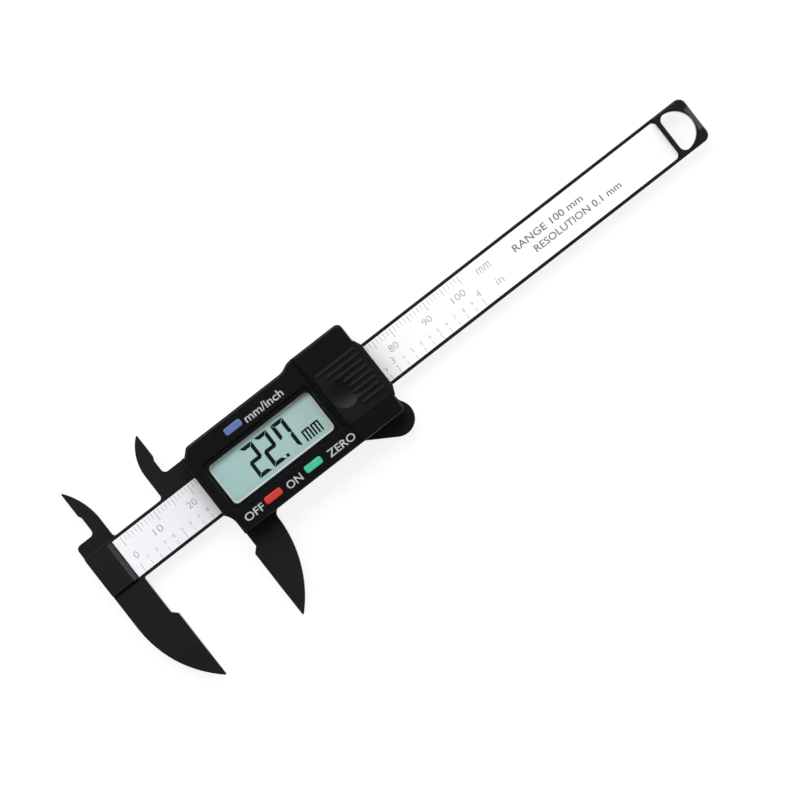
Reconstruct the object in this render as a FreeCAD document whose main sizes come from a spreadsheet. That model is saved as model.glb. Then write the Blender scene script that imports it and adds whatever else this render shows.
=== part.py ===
"""Digital caliper, 100 mm range: plastic beam with fixed jaws, electronic slider with moving jaws.

Design frame, in millimetres: X runs along the beam from the fixed jaw's measuring face (X 0) to the
hanging loop, Y crosses it from the beam's centreline towards the inside-measuring jaws, and Z rises
from the slider's flat back to the display. Every finished piece is then shifted in X and Y, so that
the origin is the middle of the whole caliper's footprint, on the plane it lies on.
"""

import FreeCAD, Part
import math
import os
from types import SimpleNamespace

import Sketcher
from FreeCAD import Placement, Rotation, Vector

doc = FreeCAD.newDocument("digital_caliper")

# ---------------------------------------------------------------- driving dimensions

SIZES = {
    # heights
    "back_wall": 1.4,
    "beam_floor": 1.5,
    "beam_thick": 3.3,
    "frame_top": 5.0,
    "cover_top": 11.4,
    "hump_rise": 1.0,
    "roof": 1.5,
    # beam
    "beam_width": 12.0,
    "head_back": 9.85,
    "head_top": 9.3,
    "head_radius": 1.2,
    "head_rise": 1.2,
    "head_bevel_run": 1.35,
    "head_bevel_drop": 0.9,
    "tail_end": 167.55,
    "tail_radius": 1.9,
    "stop_rise": 0.8,
    "scale_start": 2.2,
    "scale_end": 159.0,
    "scale_radius": 1.3,
    "rail_width": 0.75,
    "recess_depth": 0.95,
    "loop_centre": 161.4,
    "loop_radius": 5.05,
    "loop_flat": 160.15,
    "loop_corner": 1.6,
    # outside jaws
    "opening": 22.7,
    "jaw_tip": 35.8,
    "jaw_step": 17.6,
    "jaw_relief": 1.3,
    "jaw_shoulder": 15.0,
    "fixed_arc": 28.5,
    "moving_arc": 30.7,
    "moving_width": 9.55,
    "tip_flat": 0.35,
    "slope_start": 25.8,
    "slope_start_moving": 26.8,
    "slope_drop": 2.2,
    "arm_clear": 0.05,
    "edge_bevel": 0.2,
    # inside jaws
    "inner_edge": 4.9,
    "inner_tip": 21.4,
    "inner_relief": 0.45,
    "blade_fixed": 3.8,
    "blade_moving": 4.35,
    "fixed_blade_arc": 17.0,
    "moving_blade_arc": 11.8,
    "blade_gap": 0.2,
    "arm_top": 10.4,
    # slider body
    "slider_right": 71.5,
    "body_top": 12.08,
    "hump_top": 13.25,
    "body_bottom": 12.45,
    "channel_clear": 0.15,
    "lobe_x": 68.5,
    "lobe_y": 12.95,
    "lobe_radius": 4.3,
    "waist_radius": 3.0,
    "corner_radius": 1.37,
    "cover_wall": 1.2,
    # display
    "window_x": 41.15,
    "window_y": 0.35,
    "window_length": 29.6,
    "window_height": 11.1,
    "window_radius": 1.2,
    "window_sink": 0.9,
    "border": 0.45,
    "glass_thick": 0.8,
    # keys
    "key_length": 4.8,
    "key_width": 1.9,
    "key_proud": 0.45,
    "key_gap": 0.1,
    "key_flange": 0.45,
    "key_travel": 0.4,
    # circuit board
    "board_floor": 5.02,
    "board_thick": 0.8,
    # coin cell and its cover
    "cell_x": 65.0,
    "cell_y": 0.25,
    "cell_radius": 5.8,
    "cell_height": 5.4,
    "cell_floor": 5.95,
    "bay_floor": 5.6,
    "door_left": 58.7,
    "door_right": 72.6,
    "door_width": 14.8,
    "door_tongue": 0.55,
    "door_gap": 0.15,
    "door_end_gap": 0.3,
    "door_corner": 0.8,
    "door_cut_run": 1.0,
    "door_cut_rise": 1.95,
    "tongue_start": 60.4,
    "rib_pitch": 1.62,
    "rib_width": 0.95,
    "rib_rise": 0.35,
    # fasteners
    "screw_head": 1.8,
    "screw_shank": 0.95,
    "pin_clear": 0.03,
}

sheet = doc.addObject("Spreadsheet::Sheet", "Sizes")
for row, (alias, value) in enumerate(SIZES.items(), start=1):
    sheet.set(f"A{row}", alias)
    sheet.set(f"B{row}", str(value))
    sheet.setAlias(f"B{row}", alias)
doc.recompute()


class Size:
    """A length that carries both its value and the sheet expression that it comes from."""

    def __init__(self, value, text):
        self.value = float(value)
        self.text = text

    def __add__(self, other):
        other = as_size(other)
        return Size(self.value + other.value, f"({self.text} + {other.text})")

    def __sub__(self, other):
        other = as_size(other)
        return Size(self.value - other.value, f"({self.text} - {other.text})")

    def __mul__(self, other):
        other = as_size(other)
        return Size(self.value * other.value, f"({self.text} * {other.text})")

    def __truediv__(self, other):
        other = as_size(other)
        return Size(self.value / other.value, f"({self.text} / {other.text})")

    def __neg__(self):
        return Size(-self.value, f"(0 - {self.text})")

    def __radd__(self, other):
        return as_size(other) + self

    def __rsub__(self, other):
        return as_size(other) - self

    def __rtruediv__(self, other):
        return as_size(other) / self

    def __rmul__(self, other):
        return as_size(other) * self


def as_size(value):
    return value if isinstance(value, Size) else Size(value, repr(round(float(value), 6)))


def root(size):
    return Size(math.sqrt(size.value), f"sqrt({size.text})")


d = SimpleNamespace(**{alias: Size(float(sheet.get(alias)), f"Sizes.{alias}") for alias in SIZES})

# levels and places worked out from the driving dimensions
half_beam = d.beam_width / 2
beam_top = d.beam_floor + d.beam_thick
channel_half = half_beam + d.channel_clear
moving_face = d.opening
moving_relief = d.opening + d.jaw_relief
jaw_outer = d.opening + d.moving_width
inner_moving = d.opening - d.inner_edge
blade_split = d.beam_floor + (d.beam_thick - d.blade_gap) / 2
roof_under = d.cover_top - d.roof
hump_level = d.cover_top + d.hump_rise
board_top = d.board_floor + d.board_thick
key_top = d.cover_top + d.key_proud
window_shelf = d.cover_top - d.window_sink
centre_x = (d.tail_end - d.head_back) / 2
centre_y = (d.inner_tip - d.jaw_tip) / 2
KEYS = {
    "key_mm_inch": (as_size(37.0), as_size(8.98)),
    "key_off": (as_size(34.65), as_size(-9.5)),
    "key_on_zero": (as_size(46.5), as_size(-9.5)),
}
CASE_SCREWS = [
    (as_size(27.3), as_size(9.2)),
    (as_size(68.2), as_size(10.7)),
    (as_size(27.6), as_size(-9.7)),
    (as_size(62.0), as_size(-9.9)),
]
BOARD_SCREWS = [
    (as_size(45.2), as_size(9.0)),
    (as_size(55.6), as_size(9.0)),
    (as_size(40.6), as_size(-9.6)),
    (as_size(53.8), as_size(-9.6)),
]
CASE_BOSS = as_size(1.9)
BOARD_BOSS = as_size(1.25)

# ---------------------------------------------------------------- helpers

made = []


def bind(thing, prop, size):
    thing.setExpression(prop, as_size(size).text)


def deliver(thing, label):
    """Names a finished piece and, for a body, moves it to the row frame."""
    thing.Label = label
    if thing.TypeId == "PartDesign::Body":
        bind(thing, "Placement.Base.x", -centre_x)
        bind(thing, "Placement.Base.y", -centre_y)
    made.append(thing)
    return thing


def new_body(name):
    return doc.addObject("PartDesign::Body", "body_" + name)


def sketch_on(body, name, level, plane="XY_Plane"):
    """A sketch on one of the body's own origin planes, raised by level along the plane's normal."""
    sketch = body.newObject("Sketcher::SketchObject", name)
    support = next(f for f in body.Origin.OriginFeatures if f.Role == plane)
    sketch.AttachmentSupport = (support, [""])
    sketch.MapMode = "FlatFace"
    bind(sketch, "AttachmentOffset.Base.z", level)
    return sketch


def fix_point(sketch, geometry, point, x, y):
    """Holds one point of a sketch at (x, y) from the sketch's origin."""
    for kind, size in (("DistanceX", x), ("DistanceY", y)):
        index = sketch.addConstraint(
            Sketcher.Constraint(kind, -1, 1, geometry, point, size.value)
        )
        sketch.setExpression(f"Constraints[{index}]", size.text)


def fix_radius(sketch, geometry, radius):
    index = sketch.addConstraint(Sketcher.Constraint("Radius", geometry, radius.value))
    sketch.setExpression(f"Constraints[{index}]", radius.text)


def arc_between(start, end, radius, turn):
    """The shorter arc from start to end; turn is 1 where it bends to the left and -1 to the right."""
    chord = end - start
    rise = math.sqrt(max(radius * radius - chord.Length ** 2 / 4, 0.0))
    left = Vector(-chord.y, chord.x, 0).normalize()
    centre = (start + end) / 2 + left * rise * turn
    ends = [math.atan2(p.y - centre.y, p.x - centre.x) for p in (start, end)]
    if turn < 0:
        ends.reverse()
    return Part.ArcOfCircle(Part.Circle(centre, Vector(0, 0, 1), radius), ends[0], ends[1])


def outline(sketch, *steps):
    """Draws a closed loop. A step is (x, y) where a line ends, or (x, y, radius, turn) for an arc."""
    steps = [[as_size(v) for v in step[:3]] + list(step[3:]) for step in steps]
    first = sketch.GeometryCount
    ends = []
    for i, step in enumerate(steps):
        start = Vector(steps[i - 1][0].value, steps[i - 1][1].value, 0)
        end = Vector(step[0].value, step[1].value, 0)
        if len(step) == 2:
            sketch.addGeometry(Part.LineSegment(start, end), False)
            ends.append((1, 2))
        else:
            sketch.addGeometry(arc_between(start, end, step[2].value, step[3]), False)
            ends.append((1, 2) if step[3] > 0 else (2, 1))
    for i, step in enumerate(steps):
        following = (i + 1) % len(steps)
        sketch.addConstraint(
            Sketcher.Constraint(
                "Coincident", first + i, ends[i][1], first + following, ends[following][0]
            )
        )
        fix_point(sketch, first + i, ends[i][1], step[0], step[1])
        if len(step) > 2:
            fix_radius(sketch, first + i, step[2])
    return sketch


def rectangle(sketch, x0, x1, y0, y1):
    return outline(sketch, (x0, y0), (x1, y0), (x1, y1), (x0, y1))


def rounded(sketch, x0, x1, y0, y1, radius):
    """A rectangle with four round corners."""
    x0, x1, y0, y1, r = (as_size(v) for v in (x0, x1, y0, y1, radius))
    return outline(
        sketch,
        (x1 - r, y0), (x1, y0 + r, r, 1), (x1, y1 - r), (x1 - r, y1, r, 1),
        (x0 + r, y1), (x0, y1 - r, r, 1), (x0, y0 + r), (x0 + r, y0, r, 1),
    )


def circle(sketch, x, y, radius):
    x, y, radius = as_size(x), as_size(y), as_size(radius)
    index = sketch.addGeometry(
        Part.Circle(Vector(x.value, y.value, 0), Vector(0, 0, 1), radius.value), False
    )
    fix_point(sketch, index, 3, x, y)
    fix_radius(sketch, index, radius)
    return sketch


def volume(body):
    """The body's volume, or 0 before its first feature."""
    return 0.0 if body.Shape.isNull() else body.Shape.Volume


def settle(feature):
    """Recomputes and stops at a feature that failed."""
    doc.recompute()
    if any(flag in feature.State for flag in ("Invalid", "Error")) or feature.Shape.isNull():
        raise RuntimeError(f"{feature.Name} failed: {feature.State} {feature.getStatusString()}")
    return feature


def pad(body, sketch, height, backwards=False):
    before = volume(body)
    feature = body.newObject("PartDesign::Pad", sketch.Name + "_pad")
    feature.Profile = sketch
    feature.Reversed = backwards
    bind(feature, "Length", height)
    settle(feature)
    if volume(body) < before + 1e-3:
        raise RuntimeError(f"{feature.Name} added nothing")
    return feature


def pocket(body, sketch, depth, backwards=False, taper=0.0):
    """Cuts against the sketch's normal, or along it when backwards is set."""
    before = volume(body)
    feature = body.newObject("PartDesign::Pocket", sketch.Name + "_pocket")
    feature.Profile = sketch
    feature.Reversed = backwards
    feature.TaperAngle = taper
    bind(feature, "Length", depth)
    settle(feature)
    if volume(body) > before - 1e-3:
        raise RuntimeError(f"{feature.Name} cut nothing")
    return feature


def dress(body, kind, size_property, size, name, pick):
    """Adds a Fillet or Chamfer on the edges of the tip that pick accepts."""
    doc.recompute()
    base = body.Tip
    names = [f"Edge{i + 1}" for i, edge in enumerate(base.Shape.Edges) if pick(edge)]
    if not names:
        raise RuntimeError(f"{name} found no edges")
    feature = body.newObject("PartDesign::" + kind, name)
    feature.Base = (base, names)
    bind(feature, size_property, size)
    return settle(feature)


def fillet(body, name, radius, pick):
    return dress(body, "Fillet", "Radius", radius, name, pick)


def chamfer(body, name, size, pick):
    return dress(body, "Chamfer", "Size", size, name, pick)


def lies_at(edge, level):
    box = edge.BoundBox
    return abs(box.ZMin - as_size(level).value) < 1e-4 and abs(box.ZMax - box.ZMin) < 1e-4


def upright(edge):
    box = edge.BoundBox
    return box.XLength < 1e-4 and box.YLength < 1e-4


def middle(edge):
    return edge.valueAt((edge.FirstParameter + edge.LastParameter) / 2)


def block(name, x0, x1, y0, y1, z0, z1):
    """A Part box between two corners given in the design frame."""
    x0, x1, y0, y1, z0, z1 = (as_size(v) for v in (x0, x1, y0, y1, z0, z1))
    box = doc.addObject("Part::Box", name)
    for prop, size in (
        ("Length", x1 - x0), ("Width", y1 - y0), ("Height", z1 - z0),
        ("Placement.Base.x", x0 - centre_x), ("Placement.Base.y", y0 - centre_y),
        ("Placement.Base.z", z0),
    ):
        bind(box, prop, size)
    return box


def drum(name, x, y, z0, z1, radius):
    """A Part cylinder standing on z0."""
    x, y, z0, z1, radius = (as_size(v) for v in (x, y, z0, z1, radius))
    cylinder = doc.addObject("Part::Cylinder", name)
    for prop, size in (
        ("Radius", radius), ("Height", z1 - z0),
        ("Placement.Base.x", x - centre_x), ("Placement.Base.y", y - centre_y),
        ("Placement.Base.z", z0),
    ):
        bind(cylinder, prop, size)
    return cylinder


def fuse(name, *shapes):
    joined = doc.addObject("Part::MultiFuse", name)
    joined.Shapes = list(shapes)
    return joined


def cut(name, base, tool):
    result = doc.addObject("Part::Cut", name)
    result.Base = base
    result.Tool = tool
    return result


def group(label, members):
    """Identical loose pieces that share one node."""
    compound = doc.addObject("Part::Compound", "group_" + label)
    compound.Links = members
    return deliver(compound, label)


# ---------------------------------------------------------------- beam with the fixed jaws


def build_beam():
    body = new_body("beam")
    full = outline(
        sketch_on(body, "beam_outline", d.beam_floor),
        (-d.head_back, -d.jaw_shoulder),
        (-d.tip_flat, -d.jaw_tip, d.fixed_arc, 1),
        (0, -d.jaw_tip),
        (0, -d.jaw_step),
        (-d.jaw_relief, -d.jaw_step + d.jaw_relief),
        (-d.jaw_relief, -half_beam - 0.5),
        (-d.jaw_relief + 0.5, -half_beam, 0.5, -1),
        (d.tail_end - d.tail_radius, -half_beam),
        (d.tail_end, -half_beam + d.tail_radius, d.tail_radius, 1),
        (d.tail_end, half_beam - d.tail_radius),
        (d.tail_end - d.tail_radius, half_beam, d.tail_radius, 1),
        (-d.head_back, half_beam),
    )
    pad(body, full, d.beam_thick)

    # the inside jaw and the head behind it are half as thick, so that the moving jaw passes over them
    relief_edge = -d.inner_edge + d.inner_relief
    blade_root = -d.inner_edge + d.blade_fixed
    half = outline(
        sketch_on(body, "inside_jaw_outline", d.beam_floor),
        (-d.head_back, half_beam - 1),
        (blade_root + 0.8, half_beam - 1),
        (blade_root + 0.8, half_beam),
        (blade_root, half_beam + 0.8, 0.8, -1),
        (blade_root, 12.0),
        (-d.inner_edge + d.tip_flat, d.inner_tip, d.fixed_blade_arc, 1),
        (-d.inner_edge, d.inner_tip),
        (-d.inner_edge, 15.0),
        (relief_edge, 14.0),
        (relief_edge, d.head_top + 1.1),
        (relief_edge - 1.1, d.head_top, 1.1, -1),
        (-d.head_back + d.head_radius, d.head_top),
        (-d.head_back, d.head_top - d.head_radius, d.head_radius, 1),
    )
    pad(body, half, blade_split - d.beam_floor)

    head = rectangle(
        sketch_on(body, "head_block", beam_top),
        -d.head_back, -d.scale_start, -half_beam + 0.8, half_beam - 0.7,
    )
    pad(body, head, d.head_rise)
    head_level = beam_top + d.head_rise
    bevel_foot = head_level - d.head_bevel_drop
    bevel = outline(
        sketch_on(body, "head_bevel", -half_beam, "XZ_Plane"),
        (-d.scale_start - d.head_bevel_run, head_level), (-d.scale_start - 0.25, bevel_foot),
        (-d.scale_start + 0.1, bevel_foot), (-d.scale_start + 0.1, head_level + 0.5),
        (-d.scale_start - d.head_bevel_run, head_level + 0.5),
    )
    pocket(body, bevel, half_beam * 2, backwards=True)

    # a tapering groove parts the head block from the jaw's front
    groove_line = -half_beam + 0.8
    groove = outline(
        sketch_on(body, "head_groove", beam_top),
        (-d.head_back - 0.5, groove_line), (-d.head_back - 0.5, groove_line - 0.35),
        (-d.scale_start - 0.4, groove_line - 0.6), (-d.scale_start - 0.4, groove_line),
    )
    pocket(body, groove, 0.7)

    stop = outline(
        sketch_on(body, "tail_stop", beam_top),
        (d.scale_end, -half_beam),
        (d.tail_end - d.tail_radius, -half_beam),
        (d.tail_end, -half_beam + d.tail_radius, d.tail_radius, 1),
        (d.tail_end, half_beam - d.tail_radius),
        (d.tail_end - d.tail_radius, half_beam, d.tail_radius, 1),
        (d.scale_end, half_beam),
    )
    pad(body, stop, d.stop_rise)

    # a D-shaped loop to hang the caliper by
    corner_x = d.loop_flat + d.loop_corner
    reach = d.loop_radius.value - d.loop_corner.value
    inset = corner_x.value - d.loop_centre.value
    corner_y = as_size(math.sqrt(reach ** 2 - inset ** 2))
    touch_x = d.loop_centre + (corner_x - d.loop_centre) * d.loop_radius / (d.loop_radius - d.loop_corner)
    touch_y = corner_y * d.loop_radius / (d.loop_radius - d.loop_corner)
    loop = outline(
        sketch_on(body, "hanging_loop", beam_top + d.stop_rise),
        (d.loop_centre + d.loop_radius, 0, d.loop_radius, 1),
        (touch_x, touch_y, d.loop_radius, 1),
        (d.loop_flat, corner_y, d.loop_corner, 1),
        (d.loop_flat, -corner_y),
        (touch_x, -touch_y, d.loop_corner, 1),
    )
    pocket(body, loop, d.beam_thick + d.stop_rise + 1)
    loop_level = beam_top + d.stop_rise
    inside_loop = SIZES["loop_flat"] - 0.1
    chamfer(
        body, "loop_rim", 0.35,
        lambda e: lies_at(e, loop_level) and middle(e).x > inside_loop
        and abs(middle(e).y) < SIZES["loop_radius"] + 0.1
        and middle(e).x < SIZES["loop_centre"] + SIZES["loop_radius"] + 0.1,
    )
    fillet(
        body, "tail_edges", 0.4,
        lambda e: lies_at(e, loop_level) and middle(e).x > SIZES["scale_end"] + 0.1
        and (abs(middle(e).y) > SIZES["loop_radius"] + 0.2
             or middle(e).x > SIZES["tail_end"] - 0.7),
    )
    slope = outline(
        sketch_on(body, "loop_bar_slope", -3.1, "XZ_Plane"),
        (d.tail_end - 1.3, loop_level), (d.tail_end + 0.1, loop_level - 0.9),
        (d.tail_end + 0.1, loop_level + 0.5), (d.tail_end - 1.3, loop_level + 0.5),
    )
    pocket(body, slope, 6.2, backwards=True)

    # the recess that holds the circuit strip and the printed label
    recess_half = half_beam - d.rail_width
    recess = outline(
        sketch_on(body, "scale_recess", beam_top),
        (-d.scale_start, -recess_half),
        (d.scale_end - d.scale_radius, -recess_half),
        (d.scale_end, -recess_half + d.scale_radius, d.scale_radius, 1),
        (d.scale_end, recess_half - d.scale_radius),
        (d.scale_end - d.scale_radius, recess_half, d.scale_radius, 1),
        (-d.scale_start, recess_half),
    )
    pocket(body, recess, d.recess_depth)

    # the upper edge is bevelled, so that the moving inside jaw's arm can lap over it
    bevel = outline(
        sketch_on(body, "edge_bevel", -d.head_back - 1, "YZ_Plane"),
        (half_beam - d.edge_bevel, beam_top), (half_beam, beam_top - d.edge_bevel),
        (half_beam + 0.2, beam_top - d.edge_bevel), (half_beam + 0.2, beam_top + 0.2),
        (half_beam - d.edge_bevel, beam_top + 0.2),
    )
    pocket(body, bevel, d.head_back + 1 + d.scale_end - 2, backwards=True)

    # the outside jaw's tip slopes down on its front to reach into grooves
    slope = outline(
        sketch_on(body, "tip_slope", -d.head_back - 1, "YZ_Plane"),
        (-d.slope_start, beam_top), (-d.slope_start, beam_top + 0.5),
        (-d.jaw_tip - 0.5, beam_top + 0.5), (-d.jaw_tip - 0.5, beam_top - d.slope_drop),
    )
    pocket(body, slope, d.head_back + 2, backwards=True)
    return deliver(body, "beam")


# ---------------------------------------------------------------- slider frame with the moving jaws


def slider_outline(sketch, with_lobe):
    """The slider seen from the front: the frame has the thumb lobe, the cover stops short of it."""
    right = d.slider_right
    # the step up to the battery end is an S of two equal arcs
    half_run, half_rise = 2.2, (d.hump_top - d.body_top) / 2
    step_radius = (half_run * half_run + half_rise * half_rise) / (2 * half_rise)
    # the upper left corner is cut at 45 degrees and rounded into the top edge
    diagonal = math.sqrt(0.5)
    corner_drop = d.corner_radius * (1 - diagonal)
    cut_x = moving_face + 1.0
    cut_end = cut_x + (d.body_top - corner_drop - d.arm_top)
    # below the channel the left edge curves back to the outside jaw's relief
    throat_radius = (d.jaw_relief * d.jaw_relief + 3.2 * 3.2) / (2 * d.jaw_relief)
    steps = [
        (right, d.hump_top - 1.4),
        (right - 1.4, d.hump_top, 1.4, 1),
        (57.2, d.hump_top),
        (57.2 - half_run, d.hump_top - half_rise, step_radius, 1),
        (57.2 - 2 * half_run, d.body_top, step_radius, -1),
        (cut_end + d.corner_radius * diagonal, d.body_top),
        (cut_end, d.body_top - corner_drop, d.corner_radius, 1),
        (cut_x, d.arm_top),
        (moving_face, d.arm_top),
        (moving_face, -half_beam - 0.2),
        (moving_relief, -half_beam - 3.4, throat_radius, -1),
        (moving_relief, -d.body_bottom),
    ]
    if not with_lobe:
        steps += [(right - 1.2, -d.body_bottom), (right, -d.body_bottom + 1.2, 1.2, 1)]
        return outline(sketch, *steps)
    # the lobe's flank touches its circle, and a waist arc joins the circle to the right edge
    flank = math.radians(-121.41)
    flank_x = d.lobe_x + d.lobe_radius * math.cos(flank)
    flank_y = -d.lobe_y + d.lobe_radius * math.sin(flank)
    flank_run = (-d.body_bottom - flank_y) / math.tan(-math.pi / 2 - flank)
    waist_x = right + d.waist_radius
    reach = d.lobe_radius + d.waist_radius
    across = waist_x - d.lobe_x
    rise = root(reach * reach - across * across)
    steps += [
        (flank_x - flank_run, -d.body_bottom),
        (flank_x, flank_y),
        (d.lobe_x + d.lobe_radius * math.cos(math.radians(-40)),
         -d.lobe_y + d.lobe_radius * math.sin(math.radians(-40)), d.lobe_radius, 1),
        (d.lobe_x + across * d.lobe_radius / reach, -d.lobe_y + rise * d.lobe_radius / reach,
         d.lobe_radius, 1),
        (right, -d.lobe_y + rise, d.waist_radius, -1),
    ]
    return outline(sketch, *steps)


def build_frame():
    body = new_body("slider_frame")
    pad(body, slider_outline(sketch_on(body, "frame_outline", 0), True), d.frame_top)
    fillet(
        body, "back_edges", 0.7,
        lambda e: lies_at(e, 0),
    )

    jaw = outline(
        sketch_on(body, "outside_jaw_outline", d.beam_floor),
        (jaw_outer + 1.0, -d.body_bottom + 1.5),
        (moving_relief, -d.body_bottom + 1.5),
        (moving_relief, -d.jaw_step + d.jaw_relief),
        (moving_face, -d.jaw_step),
        (moving_face, -d.jaw_tip),
        (moving_face + d.tip_flat, -d.jaw_tip),
        (jaw_outer, -d.body_bottom - 1.5, d.moving_arc, 1),
        (jaw_outer + 1.0, -d.body_bottom - 0.05, 1.9, -1),
    )
    pad(body, jaw, d.beam_thick)

    # the channel that rides on the beam, and a slot in its wall for the pressure spring
    channel = rectangle(
        sketch_on(body, "beam_channel", d.frame_top),
        moving_face - 2, d.slider_right + 4, -channel_half, channel_half,
    )
    pocket(body, channel, d.frame_top - d.back_wall)
    slot = rectangle(
        sketch_on(body, "spring_slot", d.frame_top),
        31, 65, channel_half - 0.3, channel_half + 0.95,
    )
    pocket(body, slot, d.frame_top - 1.9)

    # the inside jaw's arm lies close against the beam
    arm_floor = blade_split + d.blade_gap
    blade_left = inner_moving - d.blade_moving
    relief = inner_moving - d.inner_relief
    arm = outline(
        sketch_on(body, "inside_jaw_outline_moving", arm_floor),
        (25.5, half_beam + d.arm_clear),
        (25.5, d.arm_top),
        (relief + 1.2, d.arm_top),
        (relief, d.arm_top + 1.2, 1.2, -1),
        (relief, 14.2),
        (inner_moving, 15.2),
        (inner_moving, d.inner_tip),
        (inner_moving - d.tip_flat, d.inner_tip),
        (blade_left, 13.0, d.moving_blade_arc, 1),
        (blade_left, half_beam + d.arm_clear + 0.8),
        (blade_left - 0.8, half_beam + d.arm_clear, 0.8, -1),
    )
    pad(body, arm, beam_top - arm_floor)
    lip = outline(
        sketch_on(body, "arm_lip", blade_left - 0.45, "YZ_Plane"),
        (half_beam - d.edge_bevel + 0.07, beam_top), (half_beam + 0.07, beam_top - d.edge_bevel),
        (half_beam + 0.12, beam_top - d.edge_bevel), (half_beam + 0.12, beam_top),
    )
    pad(body, lip, 25.5 - blade_left + 0.45)

    holes = sketch_on(body, "case_screw_holes", 0)
    heads = sketch_on(body, "case_screw_seats", 0)
    for x, y in CASE_SCREWS:
        circle(holes, x, y, d.screw_shank + 0.15)
        circle(heads, x, y, d.screw_head + 0.15)
    pocket(body, holes, d.frame_top + 1, backwards=True)
    pocket(body, heads, 1.6, backwards=True)

    relief_holes = sketch_on(body, "board_screw_pits", d.frame_top)
    for x, y in BOARD_SCREWS:
        circle(relief_holes, x, y, 1.45)
    pocket(body, relief_holes, 0.9)

    slope = outline(
        sketch_on(body, "tip_slope_moving", moving_face - 1, "YZ_Plane"),
        (-d.slope_start_moving, beam_top), (-d.slope_start_moving, beam_top + 0.5),
        (-d.jaw_tip - 0.5, beam_top + 0.5), (-d.jaw_tip - 0.5, beam_top - d.slope_drop),
    )
    pocket(body, slope, d.moving_width + 2, backwards=True)
    return deliver(body, "slider_frame")


# ---------------------------------------------------------------- front cover


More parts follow.
